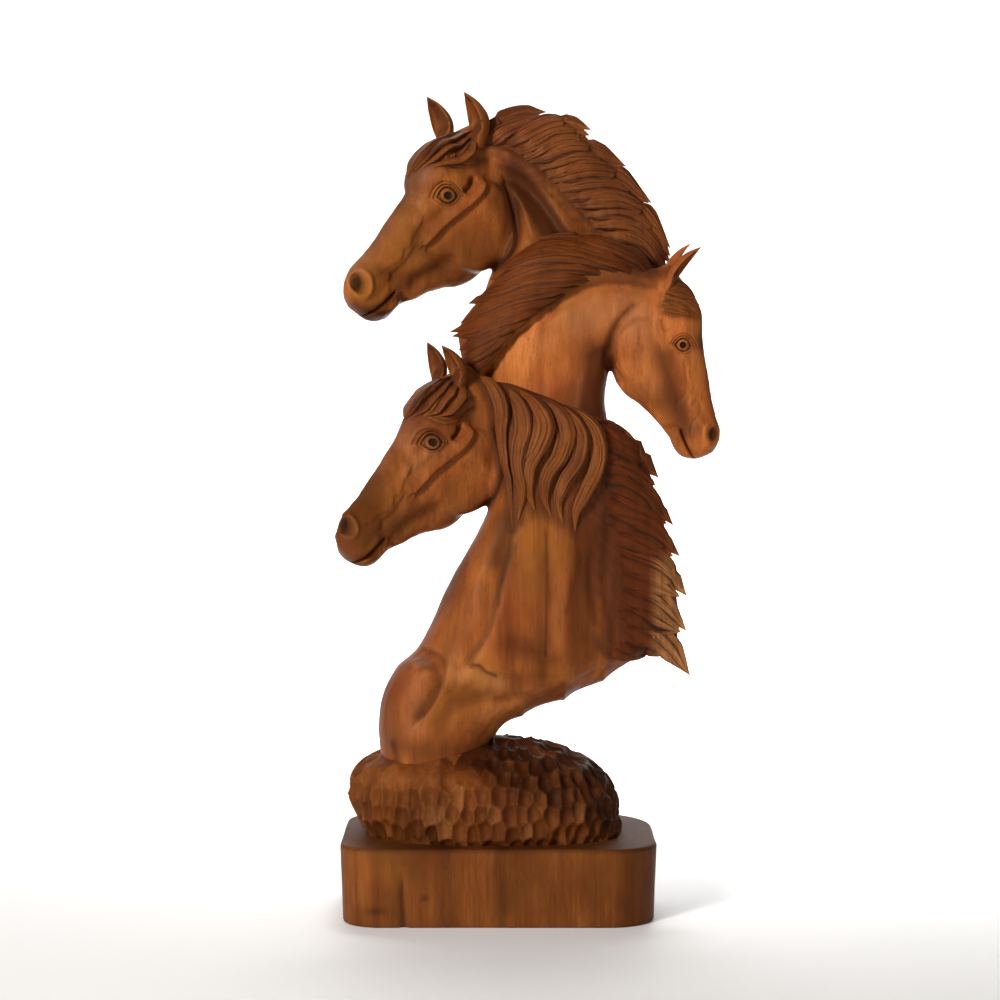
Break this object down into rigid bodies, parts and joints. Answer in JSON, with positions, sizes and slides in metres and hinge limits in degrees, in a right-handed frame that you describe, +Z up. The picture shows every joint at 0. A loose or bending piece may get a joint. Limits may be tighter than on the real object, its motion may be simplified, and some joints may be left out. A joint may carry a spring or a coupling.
{
  "type": "wooden statuette",
  "caption": "Hand-carved hardwood statuette of horse heads rising from one neck, on a gouged mound and a slab plinth cut from the same block.",
  "frame": {"origin": "on the flat underside of the plinth, near its middle", "axes": "+Z up through the carving, +X to the viewer's right in the pictured view, -Y towards the viewer"},
  "size_m": [0.2784, 0.1606, 0.6006],
  "materials": {
    "wood": "satin waxed reddish-brown hardwood with darker grain, pale sapwood at some edges and dark-stained eyes"
  },
  "bodies": {
    "root": {"carving": "wood"}
  },
  "joints": []
}
